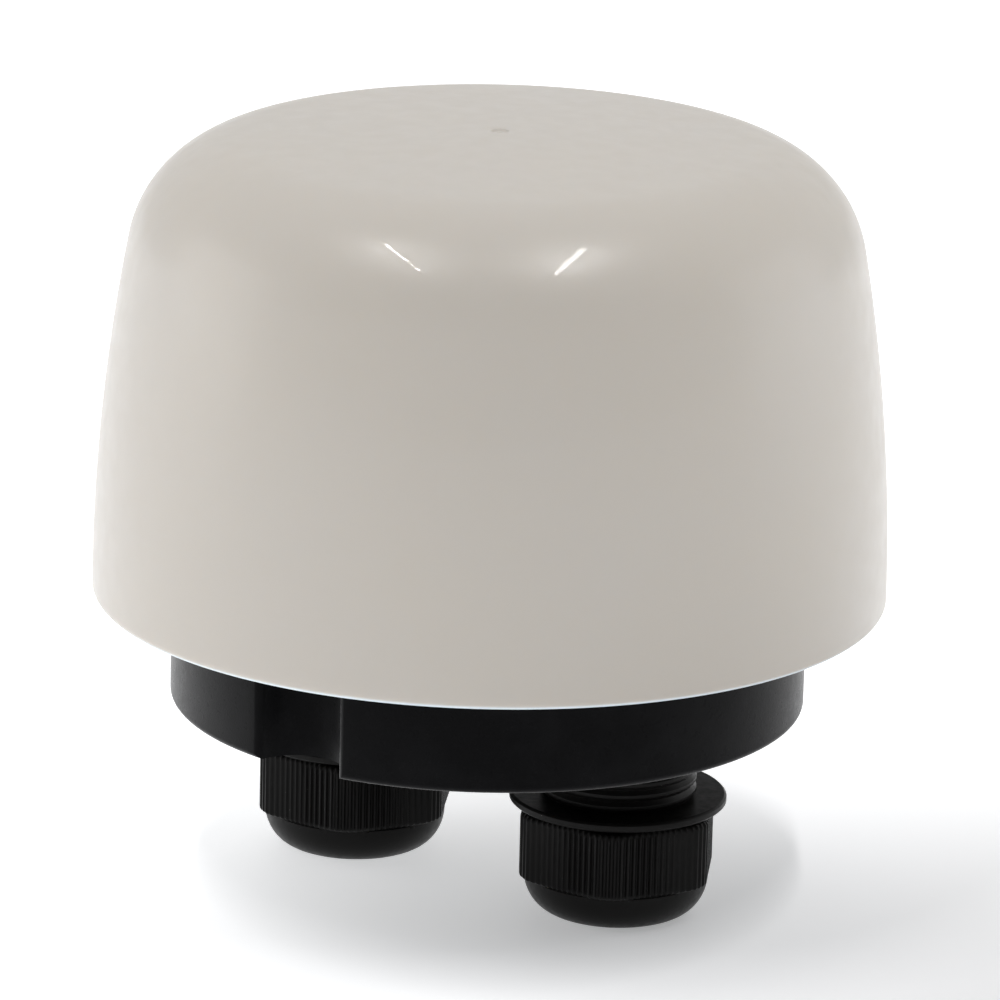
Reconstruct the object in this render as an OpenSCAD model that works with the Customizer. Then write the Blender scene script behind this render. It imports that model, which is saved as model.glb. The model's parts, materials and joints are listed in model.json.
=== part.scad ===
// Motorised rotary actuator head: opal cover over a black base with two cable glands.
// Millimetres. Z runs up along the output shaft, and z = 0 is the mounting face under the base.
// The cable glands lie on the X axis, and the cover screws lie on the Y axis.

/* [Cover] */
// Outside radius of the cover at its rim
cover_r = 51; // [50.5:0.1:52]
// Height of the cover's rim above the mounting face
rim_z = 14; // [13.6:0.1:14.4]
// Wall thickness of the cover
cover_wall = 2.4; // [2:0.1:2.6]
// Radius of the bowed side, seen in outline
side_bow_r = 252; // [230:1:300]
// How far the outline turns between the rim and the shoulder, in degrees
side_sweep = 10.6; // [10:0.1:11.5]
// Radius of the shoulder, seen in outline
shoulder_r = 15.9; // [14:0.1:18]
// Turn at which the shoulder runs into the crown, in degrees
shoulder_end = 85.4; // [84:0.1:87]

/* [Base] */
// Outside radius of the base below the cover
base_r = 40.85; // [40.5:0.05:41.5]
// Thickness of the base's wall
base_wall = 2.5; // [2:0.1:3]
// Thickness of the base's floor
floor_t = 3; // [2.5:0.1:4]
// Outside radius of the flange that the cover slides over
flange_r = 48; // [47.6:0.1:48.1]
// Distance of the cover screws and their scallops from the axis
scallop_y = 40.5; // [40:0.1:41]
// Radius of the scallops that give access to the cover screws
scallop_r = 6.05; // [5.5:0.05:6.5]

/* [Mounting] */
// Distance between the two mounting threads
mount_spacing = 52; // [48:1:54]
// Bore radius of a mounting insert
mount_bore_r = 2.1; // [2:0.05:2.3]
// Bore radius of the output socket
socket_r = 4; // [3.5:0.1:4.2]
// Depth of the output socket
socket_depth = 10; // [8:0.5:11]
// Width of the slot for the cross pin in the socket
cross_slot_w = 2.2; // [2:0.1:2.6]

/* [Cable glands] */
// Distance of each gland from the axis
gland_x = 20.9; // [20:0.1:21.5]
// Radius of the gland's thread
gland_thread_r = 10; // [9.8:0.05:10]
// Length of thread left showing under the base
gland_drop = 8.5; // [6:0.1:9]
// Radius of the gland's round flange
gland_flange_r = 13.9; // [13.3:0.1:14.2]
// Width of the nut across its flats
nut_flats = 24; // [23.6:0.1:24.4]
// Radius to which the nut's corners are rounded
nut_corner_r = 13.2; // [12.8:0.1:13.5]
// Height of the ribbed part of the nut
nut_h = 9; // [8:0.1:10]
// Height of the nut's domed end
nut_dome_h = 5; // [4:0.1:6]
// Number of grip ribs around the nut
nut_ribs = 96; // [72:6:108]
// Bore radius of the rubber seal
seal_bore_r = 5; // [4:0.1:5.5]

/* [Gear train] */
// Teeth on every pinion
pinion_teeth = 12; // [12:1:12]
// Teeth on the two idler wheels
idler_teeth = 36; // [36:1:36]
// Teeth on the output gear
output_teeth = 40; // [40:1:40]
// Module of the motor pinion and the first idler wheel
first_module = 0.6; // [0.6:0.1:0.6]
// Module of the first idler's pinion and the second idler wheel
second_module = 0.75; // [0.75:0.05:0.75]
// Module of the second idler's pinion and the output gear
output_module = 1; // [1:0.1:1]
// Direction of the second idler from the output shaft, in degrees
second_direction = 225; // [223:1:227]
// Distance of the motor from the output shaft
motor_offset = 26.5; // [26:0.1:27]

/* [Motor] */
// Outside radius of the motor
motor_r = 15; // [14:0.5:15]
// Height of the motor above its flange
motor_h = 21.5; // [18:0.5:24]

/* [Limit switches] */
// Turn of the output shaft between its limits, in degrees
output_travel = 90; // [90:1:90]
// Turn of a switch lever when its cam presses it, in degrees
lever_travel = 7.2; // [6:0.1:8]
// Radius of the roller on a switch lever
roller_r = 1.6; // [1.4:0.1:1.8]
// Thickness of a switch case
switch_t = 6.4; // [6:0.1:6.6]

/* [Circuit board] */
// Number of ways in the terminal block
ways = 6; // [3:1:6]
// Distance between neighbouring ways
way_pitch = 5; // [5:0.1:5.2]

/* [Hidden] */
$fn = 64;
ends = [-1, 1];

// clearances
running_gap = 0.03;
cam_gap = 0.12;

// heights of the stack
flange_z = rim_z + 1.2;
flange_top = flange_z + 3;
block_top = 9;
lower_plate_z = 17;
plate_t = 1.5;
lower_plate_top = lower_plate_z + plate_t;
upper_plate_z = 33;
upper_plate_top = upper_plate_z + plate_t;

// cover outline
rim_round = 1.2;
side_cx = cover_r - side_bow_r;
shoulder_cx = side_cx + (side_bow_r - shoulder_r) * cos(side_sweep);
shoulder_cz = rim_z + (side_bow_r - shoulder_r) * sin(side_sweep);
crown_edge_r = shoulder_cx + shoulder_r * cos(shoulder_end);
crown_edge_z = shoulder_cz + shoulder_r * sin(shoulder_end);
crown_r = crown_edge_r / cos(shoulder_end);
crown_cz = crown_edge_z - crown_r * sin(shoulder_end);
cover_top = crown_cz + crown_r;
gate_r = 1.1;
gate_depth = 0.3;

// cover screws, M4, with brass inserts in the cover
cover_screw_r = 2;
cover_screw_head_r = 3.8;
cover_screw_head_h = 2.2;
cover_boss_r = 4.4;
cover_boss_z = flange_top + 0.05;
cover_boss_top = 32;
cover_boss_web = 2.4;
insert_r = 2.9;
insert_h = 8;
screw_seal_t = 0.8;
cover_screw_top = cover_boss_z + insert_h;

// cover seal
groove_h = 2.2;
groove_r = 46.2;
seal_section_r = 1;
seal_ring_r = groove_r + 0.1 + seal_section_r;

// base
cup_r = base_r - base_wall;
base_edge_round = 0.9;
scallop_wall_r = scallop_r + base_wall;
block_r = 13;
mount_boss_r = 6;
mount_boss_h = 11;
mount_insert_r = 3.5;
mount_insert_h = 8;
post_r = 3.6;
post_screw_r = 1.45;
// each chassis post as [direction, distance from the axis]
chassis_posts = [[50, 33], [-50, 33], [135, 33], [216.2, 34.7]];

// cable glands
gland_flange_t = 1.2;
gland_flange_z = -gland_drop - gland_flange_t;
gland_stem_top = block_top - 0.2;
thread_pitch = 1.5;
thread_depth = 0.45;
rib_depth = 0.35;
nut_top = gland_flange_z - 0.6;
nut_rib_bottom = nut_top - nut_h;
nut_bottom = nut_rib_bottom - nut_dome_h;
nut_thread_r = 9.6;
nut_mouth_r = 6.8;
nut_dome_r = nut_flats / 2 + 0.1;
dome_lip_r = nut_mouth_r + 0.6;
finger_r = 9.4;
finger_tip_r = 8.4;
finger_z = nut_bottom + 4;
seal_r = 7;
seal_z = finger_z + 0.6;
seal_top = gland_flange_z - 1;
fingers = 8;
finger_slot = 1;

// output shaft
shaft_lower_r = 6.5;
shaft_waist_r = 6;
shaft_middle_r = 5;
shaft_upper_r = 4;
shaft_bottom = 0.5;
shaft_top = 50;
collar_z = 10.2;
collar_r = 8.2;
collar_h = 2;
gear_seat_top = 27;
shaft_shoulder_z = 32.7;
lower_bush_r = 8;
lower_bush_z = 2.5;
lower_bush_flange_r = 9.3;
lower_bush_top = 10;
shaft_seal_r = 8.4;
upper_bush_r = 5.5;
upper_bush_flange_r = 6.5;
upper_bush_top = upper_plate_top + 1;

// gears: stub teeth with a 25 degree pressure angle
pressure_angle = 25;
addendum = 0.8;
dedendum = 1.05;
tooth_slack = 0.08;
output_gear_z = 19.5;
output_gear_t = 5;
second_wheel_z = 25.2;
first_wheel_z = 28.4;
wheel_t = 2.4;
idler_bottom = 18.9;
idler_top = 32.6;
axle_r = 1.5;
idler_hub_r = 3;
motor_pinion_z = 27.9;
motor_pinion_h = 3.2;

output_pitch_r = output_module * output_teeth / 2;
second_distance = output_module * (output_teeth + pinion_teeth) / 2;
second_at = second_distance * [cos(second_direction), sin(second_direction)];
first_distance = second_module * (idler_teeth + pinion_teeth) / 2;
first_direction = 115;
first_at = second_at + first_distance * [cos(first_direction), sin(first_direction)];
motor_distance = first_module * (idler_teeth + pinion_teeth) / 2;
first_polar = atan2(first_at[1], first_at[0]) + 360;
motor_swing = acos((norm(first_at) ^ 2 + motor_offset ^ 2 - motor_distance ^ 2)
                   / (2 * norm(first_at) * motor_offset));
motor_polar = first_polar - motor_swing;
motor_at = motor_offset * [cos(motor_polar), sin(motor_polar)];

// turn of each wheel at rest, so that every pair stands in mesh
output_turn = 0;
second_turn = meshed(second_direction, output_turn, output_teeth, pinion_teeth);
first_turn = meshed(first_direction, second_turn, idler_teeth, pinion_teeth);
motor_direction = atan2(motor_at[1] - first_at[1], motor_at[0] - first_at[0]);
motor_turn = meshed(motor_direction, first_turn, idler_teeth, pinion_teeth);

// pillars between the plates
pillar_r = 2.2;
pillar_rivet_r = 1.4;
pillars = [[25.4, 17.8], [25.4, -17.8], [-5.4, 30.5], [-2.7, -30.9], [-34, 9.5]];
plate_r = 37.4;
upper_plate_reach = 31;
cable_window = [[26, -11], [35, 11]];

// motor
motor_wall = 0.8;
motor_flange_t = 1;
motor_cup_z = upper_plate_top + motor_flange_t;
motor_top = motor_cup_z + motor_h;
motor_spigot_r = 5.9;
motor_ear = 18.5;
motor_ear_r = 3.2;
motor_screw_r = 1.25;
coil_inner_r = 9.4;
coil_outer_r = motor_r - motor_wall - 0.2;
rotor_r = 8.8;
rotor_shaft_r = 1;
bearing_boss_r = 3;
rotor_shaft_z = 27.5;
rotor_shaft_top = motor_top - 1.6;

// limit switches
switch_w = 20;
switch_d = 10;
switch_face = -17;
closed_switch_z = upper_plate_top;
insulator_t = 0.6;
open_switch_z = closed_switch_z + switch_t + insulator_t;
lever_w = 3;
lever_t = 0.5;
lever_pivot = [-8.2, -16.2];
lever_bend = [-1, -14.8];
roller_at = [1, -11.35];
lever_eye_r = 0.74;
pivot_r = 0.5;
plunger_x = -3.2;
plunger_r = 0.8;
plunger_top = -15.6;
plunger_stroke = 0.62;
switch_hole = 4.75;
switch_hole_y = -24.3;
switch_screw_r = 1.1;
tab_l = 4;
tab_pitch = 6.8;
cam_t = 3;
closed_cam_z = closed_switch_z + (switch_t - cam_t) / 2;
open_cam_z = open_switch_z + (switch_t - cam_t) / 2;
cam_hub_r = 6;
ring_z = open_cam_z + cam_t + 0.1;
ring_t = 0.8;
ring_groove_r = 3.5;

// circuit board
board_z = 38;
board_t = 1.6;
board_top = board_z + board_t;
board_x = [13, 38];
board_y = 28;
board_r = 40;
board_fixings = [[22, 24.5], [22, -24.5], [21.5, 0]];
board_screw_r = 1.25;
block_x = 26;
block_d = 10;
block_h = 12;
block_w = ways * way_pitch + 1;
cage_w = 3.8;
cage_h = 6;
capacitor_size = [7.5, 16, 13];
capacitor_at = [18.8, 12];
lamps = [[18, -9], [18, -14]];
lamp_r = 1.5;

// leads: centre lines from part to part
lead_r = 0.7;
motor_lead_paths = [
    [[-10.2, 19.5, 38], [-6, 21.5, 37], [2, 22.5, 36.2], [9, 22.5, 37.5], [13, 22.2, 41.2],
     [15.5, 22, 42], [16, 22, 40.6], [16, 22, 39.6]],
    [[-11.4, 22, 38], [-6.5, 24, 37], [2, 25, 36.2], [9, 25, 37.5], [13, 24.8, 41.2],
     [15.5, 24.6, 42], [16, 24.6, 40.6], [16, 24.6, 39.6]]
];
switch_lead_paths = [
    [[6.8, -31.8, 37.6], [8.5, -31.7, 37.8], [11, -30, 39.5], [13, -26.5, 42],
     [15.5, -25.4, 42.4], [16, -25.2, 40.8], [16, -25.2, 39.6]],
    [[6.8, -31.8, 44.8], [8.6, -31.6, 45], [11.2, -28.5, 45.2], [13.5, -24.2, 44.2],
     [15.5, -22.8, 43], [16, -22.6, 41], [16, -22.6, 39.6]],
    [[0, -31.8, 44.8], [1.5, -32.3, 46.2], [7, -30.8, 47.6], [12.4, -25, 46.4],
     [15.2, -20.4, 44], [16, -20, 41.4], [16, -20, 39.6]]
];

// colours
opal = [0.82, 0.8, 0.77];
black = [0.06, 0.06, 0.065];
rubber = [0.13, 0.13, 0.14];
brass = [0.78, 0.62, 0.3];
bronze = [0.63, 0.45, 0.26];
steel = [0.62, 0.63, 0.65];
zinc = [0.72, 0.73, 0.74];
acetal = [0.88, 0.87, 0.82];

// -- functions --

// Points along an arc about [cx, cz], from angle a to angle b
function arc(cx, cz, r, a, b, steps) = [
    for (i = [0:steps])
        let (t = a + (b - a) * i / steps)
            [cx + r * cos(t), cz + r * sin(t)]
];

// The cover's outline from the rim to the crown's centre, moved inwards by inset
function dome_outline(inset) = concat(
    arc(side_cx, rim_z, side_bow_r - inset, asin(rim_round / side_bow_r), side_sweep, 10),
    arc(shoulder_cx, shoulder_cz, shoulder_r - inset, side_sweep + 5, shoulder_end - 5, 12),
    arc(0, crown_cz, crown_r - inset, shoulder_end, 90, 5)
);

function reversed(points) = [for (i = [len(points) - 1:-1:0]) points[i]];

// Involute of an angle, in degrees
function involute(a) = tan(a) * 180 / PI - a;

// Turn of a driven gear whose centre lies in the given direction from its driver
function meshed(direction, driver_turn, driver_teeth, teeth) =
    direction + 180 - 180 / teeth + (direction - driver_turn) * driver_teeth / teeth;

// Half of a tooth's angle at radius r
function half_tooth(r, pitch_r, base_circle, teeth) =
    90 / teeth - tooth_slack / 4 / pitch_r * 180 / PI
    + involute(pressure_angle) - involute(acos(base_circle / r));

// One tooth's outline, from its left root to its right root, about angle a
function tooth(a, module_size, teeth) =
    let (pitch_r = module_size * teeth / 2,
         base_circle = pitch_r * cos(pressure_angle),
         root = pitch_r - dedendum * module_size,
         tip = pitch_r + addendum * module_size,
         start = max(base_circle, root),
         radii = [for (k = [0:3]) start + (tip - start) * k / 3],
         right = [for (r = radii) let (h = half_tooth(r, pitch_r, base_circle, teeth)) [r, h]],
         foot = root < base_circle ? [[root, right[0][1]]] : [],
         flank = concat(foot, right))
    concat([for (p = flank) polar(p[0], a - p[1])],
           [for (p = reversed(flank)) polar(p[0], a + p[1])]);

function polar(r, a) = [r * cos(a), r * sin(a)];

function turned(p, centre, a) =
    let (d = p - centre)
        centre + [d[0] * cos(a) - d[1] * sin(a), d[0] * sin(a) + d[1] * cos(a)];

// Share of a cam's rise that faces the roller when the shaft has turned by u
function cam_share(u) =
    u <= output_travel + 25 ? min(max(u / output_travel, 0), 1)
                            : 0.5 + 0.5 * cos(180 * (u - output_travel - 25) / (310 - output_travel));

// The cam's outline point that faces the roller when the shaft has turned by u
function cam_point(u, falling) =
    let (share = falling ? 1 - cam_share(u) : cam_share(u),
         roller = turned(roller_at, lever_pivot, -lever_travel * share))
        polar(norm(roller) - roller_r - cam_gap, atan2(roller[1], roller[0]) - u);

function unit(v) = v / norm(v);

// A smooth curve through the points, with four steps to each span
function smooth(points) = concat(
    [for (i = [0:len(points) - 2], k = [0:3])
        let (p0 = points[max(i - 1, 0)],
             p1 = points[i],
             p2 = points[i + 1],
             p3 = points[min(i + 2, len(points) - 1)],
             t = k / 4)
            0.5 * (2 * p1 + (p2 - p0) * t + (2 * p0 - 5 * p1 + 4 * p2 - p3) * t ^ 2
                   + (3 * p1 - p0 - 3 * p2 + p3) * t ^ 3)],
    [points[len(points) - 1]]
);

// Directions across a curve that turn as little as possible from point to point
function carried(tangents, i, across) =
    let (next = unit(across - (across * tangents[i]) * tangents[i]))
        i == len(tangents) - 1 ? [next] : concat([next], carried(tangents, i + 1, next));

// -- shared shapes --

module gear_shape(module_size, teeth) {
    polygon([for (i = [0:teeth - 1]) each tooth(360 * i / teeth, module_size, teeth)]);
}

module bar(a, b, t) {
    d = b - a;
    translate(a)
        rotate(atan2(d[1], d[0]))
            translate([0, -t / 2])
                square([norm(d), t]);
}

module tube(outer, inner, z, top) {
    translate([0, 0, z])
        difference() {
            cylinder(r = outer, h = top - z);
            translate([0, 0, -1])
                cylinder(r = inner, h = top - z + 2);
        }
}

// A pan-head screw with a cross recess, its head's underside at z = 0 and its head up
module screw(shank_r, shank_l, head_r, head_h) {
    difference() {
        union() {
            translate([0, 0, -shank_l])
                cylinder(r = shank_r, h = shank_l);
            rotate_extrude()
                polygon([[0, 0], [head_r, 0], [head_r, head_h * 0.45], [head_r * 0.88, head_h * 0.75],
                         [head_r * 0.6, head_h], [0, head_h]]);
        }
        for (a = [0, 90])
            rotate(a)
                translate([-head_r * 0.55, -head_r * 0.11, head_h * 0.4])
                    cube([head_r * 1.1, head_r * 0.22, head_h]);
    }
}

module lead(points) {
    sides = 8;
    path = smooth(points);
    n = len(path);
    tangents = [for (i = [0:n - 1]) unit(path[min(i + 1, n - 1)] - path[max(i - 1, 0)])];
    across = carried(tangents, 0, [0.1, 0.3, 1]);
    rings = [for (i = [0:n - 1], k = [0:sides - 1])
        path[i] + lead_r * (cos(360 * k / sides) * across[i]
                            + sin(360 * k / sides) * cross(tangents[i], across[i]))];
    walls = [for (i = [0:n - 2], k = [0:sides - 1])
        [i * sides + k, (i + 1) * sides + k, (i + 1) * sides + (k + 1) % sides, i * sides + (k + 1) % sides]];
    polyhedron(rings, concat([[for (k = [0:sides - 1]) k]], walls,
                             [[for (k = [sides - 1:-1:0]) (n - 1) * sides + k]]), convexity = 4);
}

// -- cover --

module cover() {
    color(opal)
        difference() {
            union() {
                rotate_extrude($fn = 128)
                    polygon(concat(arc(cover_r - rim_round, rim_z + rim_round, rim_round, -90, -15, 5),
                                   dome_outline(0), reversed(dome_outline(cover_wall)),
                                   [[cover_r - cover_wall, rim_z]]));
                for (s = ends)
                    cover_boss(s);
            }
            for (s = ends)
                translate([0, s * scallop_y, 0]) {
                    translate([0, 0, cover_boss_z - 1])
                        cylinder(r = insert_r, h = insert_h + 1);
                    translate([0, 0, cover_boss_z])
                        cylinder(r = cover_screw_r + 0.3, h = insert_h + 3);
                }
            translate([0, 0, cover_top - gate_depth])
                cylinder(r = gate_r, h = 1);
        }
}

module cover_boss(s) {
    height = cover_boss_top - cover_boss_z;
    translate([0, s * scallop_y, cover_boss_z])
        cylinder(r = cover_boss_r, h = height);
    translate([-cover_boss_web / 2, s > 0 ? scallop_y : -cover_r + 2, cover_boss_z])
        cube([cover_boss_web, cover_r - 2 - scallop_y, height]);
}

module cover_inserts() {
    color(brass)
        for (s = ends)
            translate([0, s * scallop_y, 0])
                tube(insert_r, cover_screw_r + 0.05, cover_boss_z, cover_screw_top);
}

// -- base --

module cover_seal() {
    color(rubber)
        translate([0, 0, flange_z + 1.5])
            rotate_extrude()
                translate([seal_ring_r, 0])
                    circle(r = seal_section_r, $fn = 32);
}

module base() {
    color(black)
        difference() {
            union() {
                difference() {
                    base_form();
                    translate([0, 0, floor_t])
                        cylinder(r = cup_r, h = flange_top);
                }
                tube(flange_r, cup_r, flange_z, flange_top);
                intersection() {
                    base_form();
                    for (s = ends)
                        translate([0, s * scallop_y, 0])
                            cylinder(r = scallop_wall_r, h = flange_top);
                }
                gland_block();
                for (s = ends)
                    translate([0, s * mount_spacing / 2, 0])
                        cylinder(r = mount_boss_r, h = mount_boss_h);
                for (p = chassis_posts)
                    translate(polar(p[1], p[0]))
                        cylinder(r = post_r, h = lower_plate_z);
            }
            for (s = ends) {
                translate([0, s * scallop_y, -1])
                    cylinder(r = scallop_r, h = flange_z + 1);
                translate([0, s * scallop_y, 0])
                    cylinder(r = cover_screw_r + 0.2, h = flange_top + 1);
                translate([s * gland_x, 0, -1])
                    cylinder(r = gland_thread_r + 0.1, h = block_top + 2);
                translate([0, s * mount_spacing / 2, -1])
                    cylinder(r = mount_insert_r, h = mount_insert_h + 1);
            }
            for (p = chassis_posts)
                translate(concat(polar(p[1], p[0]), [lower_plate_z - 9]))
                    cylinder(r = post_screw_r + 0.05, h = 10);
            translate([0, 0, -1])
                cylinder(r = shaft_seal_r, h = 3.4);
            cylinder(r = lower_bush_r, h = block_top + 1);
            translate([0, 0, flange_z + 1.5 - groove_h / 2])
                tube(flange_r + 1, groove_r, 0, groove_h);
        }
}

// The base's outer form: a disc with a rounded lower edge
module base_form() {
    rotate_extrude()
        polygon(concat([[0, flange_top], [0, 0]],
                       arc(base_r - base_edge_round, base_edge_round, base_edge_round, -90, 0, 6),
                       [[base_r, flange_top]]));
}

// Thick bar across the floor that holds both glands and the output shaft's bush
module gland_block() {
    linear_extrude(block_top) {
        square([2 * gland_x, 2 * block_r], center = true);
        for (s = ends)
            translate([s * gland_x, 0])
                circle(r = block_r);
    }
}

module cover_screws() {
    color(steel)
        for (s = ends)
            translate([0, s * scallop_y, flange_z - screw_seal_t])
                mirror([0, 0, 1])
                    screw(cover_screw_r, cover_screw_top - flange_z, cover_screw_head_r,
                          cover_screw_head_h);
}

module screw_seals() {
    color(rubber)
        for (s = ends)
            translate([0, s * scallop_y, 0])
                tube(cover_screw_head_r, cover_screw_r + 0.02, flange_z - screw_seal_t, flange_z);
}

module mount_inserts() {
    color(brass)
        for (s = ends)
            translate([0, s * mount_spacing / 2, 0])
                tube(mount_insert_r, mount_bore_r, 0, mount_insert_h);
}

// -- cable glands --

// Outline of the external thread, as a stack of V ridges
function thread_outline(z, top, r) = [
    for (i = [0:floor((top - z) / thread_pitch) - 1])
        each [[r - thread_depth, z + i * thread_pitch], [r, z + (i + 0.35) * thread_pitch],
              [r, z + (i + 0.65) * thread_pitch]]
];

module gland_body(s) {
    color(black)
        translate([s * gland_x, 0, 0])
            difference() {
                rotate_extrude()
                    polygon(concat(
                        [[seal_r, finger_z], [finger_tip_r, finger_z], [finger_r, finger_z + 2],
                         [finger_r, gland_flange_z], [gland_flange_r - 0.3, gland_flange_z],
                         [gland_flange_r, gland_flange_z + 0.3], [gland_flange_r, -gland_drop - 0.3],
                         [gland_flange_r - 0.3, -gland_drop]],
                        thread_outline(-gland_drop, gland_stem_top, gland_thread_r),
                        [[gland_thread_r - thread_depth, gland_stem_top], [seal_r, gland_stem_top]]));
                for (i = [0:fingers - 1])
                    rotate(i * 360 / fingers)
                        translate([0, -finger_slot / 2, finger_z - 1])
                            cube([gland_thread_r + 1, finger_slot, seal_top - finger_z]);
            }
}

module gland_seal(s) {
    color(rubber)
        translate([s * gland_x, 0, 0])
            tube(seal_r - 0.02, seal_bore_r, seal_z, seal_top);
}

// Outline of the nut's grip: a hexagon with rounded corners and fine upright ribs
function nut_outline() = [
    for (i = [0:nut_ribs - 1], k = [0:3])
        let (a = 360 * (i + k / 4) / nut_ribs,
             from_flat = (a + 30) % 60 - 30,
             depth = k < 2 ? 0 : rib_depth)
            polar(min(nut_flats / 2 / cos(from_flat), nut_corner_r) - depth, a + 30)
];

module gland_nut(s) {
    color(black)
        translate([s * gland_x, 0, 0])
            difference() {
                union() {
                    translate([0, 0, nut_rib_bottom])
                        linear_extrude(nut_h)
                            polygon(nut_outline());
                    rotate_extrude()
                        polygon(concat([[0, nut_bottom], [dome_lip_r, nut_bottom]],
                                       [for (a = [18:12:90])
                                           [dome_lip_r + (nut_dome_r - dome_lip_r) * sin(a),
                                            nut_rib_bottom - nut_dome_h * cos(a)]],
                                       [[0, nut_rib_bottom]]));
                }
                translate([0, 0, nut_bottom - 1])
                    cylinder(r = nut_mouth_r, h = nut_h + nut_dome_h + 2);
                translate([0, 0, finger_z - 0.2])
                    cylinder(r = nut_thread_r, h = nut_h + nut_dome_h);
            }
}

module gland_body_left() {
    gland_body(-1);
}

module gland_body_right() {
    gland_body(1);
}

module gland_seal_left() {
    gland_seal(-1);
}

module gland_seal_right() {
    gland_seal(1);
}

module gland_nut_left() {
    gland_nut(-1);
}

module gland_nut_right() {
    gland_nut(1);
}

// -- output shaft --

module lower_bush() {
    color(bronze) {
        difference() {
            union() {
                translate([0, 0, lower_bush_z])
                    cylinder(r = lower_bush_r, h = lower_bush_top - lower_bush_z);
                translate([0, 0, block_top])
                    cylinder(r = lower_bush_flange_r, h = lower_bush_top - block_top);
            }
            cylinder(r = shaft_lower_r + running_gap, h = lower_bush_top + 1);
        }
    }
}

module shaft_seal() {
    color(rubber)
        tube(shaft_seal_r, shaft_lower_r + 0.05, 0.4, 2.4);
}

module upper_bush() {
    color(bronze)
        difference() {
            union() {
                translate([0, 0, upper_plate_z])
                    cylinder(r = upper_bush_r, h = upper_bush_top - upper_plate_z);
                translate([0, 0, upper_plate_top])
                    cylinder(r = upper_bush_flange_r, h = upper_bush_top - upper_plate_top);
            }
            translate([0, 0, upper_plate_z - 1])
                cylinder(r = shaft_upper_r + running_gap, h = 5);
        }
}

module output_shaft() {
    slot_top = shaft_bottom + 6;
    color(steel)
        difference() {
            rotate_extrude()
                polygon([[0, shaft_bottom], [shaft_lower_r - 0.3, shaft_bottom],
                         [shaft_lower_r, shaft_bottom + 0.3], [shaft_lower_r, collar_z],
                         [collar_r, collar_z], [collar_r, collar_z + collar_h],
                         [shaft_waist_r, collar_z + collar_h], [shaft_waist_r, gear_seat_top],
                         [shaft_middle_r, gear_seat_top], [shaft_middle_r, shaft_shoulder_z],
                         [shaft_upper_r, shaft_shoulder_z], [shaft_upper_r, ring_z],
                         [ring_groove_r, ring_z], [ring_groove_r, ring_z + ring_t],
                         [shaft_upper_r, ring_z + ring_t], [shaft_upper_r, shaft_top - 0.4],
                         [shaft_upper_r - 0.4, shaft_top], [0, shaft_top]]);
            cylinder(r = socket_r, h = shaft_bottom + socket_depth);
            translate([-5.4, -cross_slot_w / 2, -1])
                cube([10.8, cross_slot_w, slot_top + 1]);
            translate([-5, -0.6, shaft_top - 1.5])
                cube([10, 1.2, 2]);
        }
}

module output_gear() {
    hub_r = 9;
    rim_inner_r = 16.5;
    web_recess = 1.4;
    color(acetal)
        difference() {
            union() {
                translate([0, 0, output_gear_z])
                    linear_extrude(output_gear_t)
                        rotate(output_turn)
                            gear_shape(output_module, output_teeth);
                translate([0, 0, output_gear_z])
                    cylinder(r = hub_r, h = gear_seat_top - output_gear_z);
            }
            translate([0, 0, output_gear_z + output_gear_t - web_recess])
                tube(rim_inner_r, hub_r, 0, web_recess + 1);
            translate([0, 0, output_gear_z - 1])
                tube(rim_inner_r, hub_r, 0, web_recess + 1);
            for (a = [0:60:300])
                translate(concat(polar((hub_r + rim_inner_r) / 2, a), [output_gear_z - 1]))
                    cylinder(r = 2.4, h = output_gear_t + 2);
            translate([0, 0, output_gear_z - 1])
                cylinder(r = shaft_waist_r, h = gear_seat_top);
        }
}

module cam(z, falling) {
    translate([0, 0, z])
        difference() {
            linear_extrude(cam_t)
                polygon([for (u = [-25:5:330]) cam_point(u, falling)]);
            translate([0, 0, -1])
                cylinder(r = shaft_upper_r, h = cam_t + 2);
            for (a = [20, 200])
                rotate(a)
                    translate([7.4, 0, -1])
                        cylinder(r = 0.9, h = cam_t + 2);
        }
}

module cam_closed() {
    color([0.75, 0.2, 0.16])
        union() {
            cam(closed_cam_z, true);
            tube(cam_hub_r, shaft_upper_r, upper_bush_top + 0.2, closed_cam_z);
        }
}

module cam_spacer() {
    color(acetal)
        tube(cam_hub_r, shaft_upper_r, closed_cam_z + cam_t, open_cam_z);
}

module cam_open() {
    color([0.2, 0.35, 0.65])
        cam(open_cam_z, false);
}

module retaining_ring() {
    color(steel)
        difference() {
            tube(5.6, ring_groove_r, ring_z, ring_z + ring_t);
            translate([0, -1.6, ring_z - 1])
                cube([8, 3.2, 3]);
        }
}

// -- plates --

module plate_holes() {
    for (p = pillars)
        translate(p)
            circle(r = pillar_rivet_r);
    for (p = [first_at, second_at])
        translate(p)
            circle(r = axle_r);
}

module lower_plate() {
    color(zinc)
        translate([0, 0, lower_plate_z])
            linear_extrude(plate_t)
                difference() {
                    circle(r = plate_r);
                    circle(r = shaft_waist_r + 1);
                    for (s = ends)
                        translate([0, s * scallop_y])
                            circle(r = scallop_wall_r + 0.6);
                    translate(cable_window[0])
                        square(cable_window[1] - cable_window[0]);
                    plate_holes();
                    for (p = chassis_posts)
                        translate(polar(p[1], p[0]))
                            circle(r = post_screw_r + 0.15);
                }
}

module plate_pillars() {
    color(steel)
        for (p = pillars)
            translate(p) {
                translate([0, 0, lower_plate_z])
                    cylinder(r = pillar_rivet_r, h = upper_plate_top - lower_plate_z);
                translate([0, 0, lower_plate_top])
                    cylinder(r = pillar_r, h = upper_plate_z - lower_plate_top);
            }
}

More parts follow.
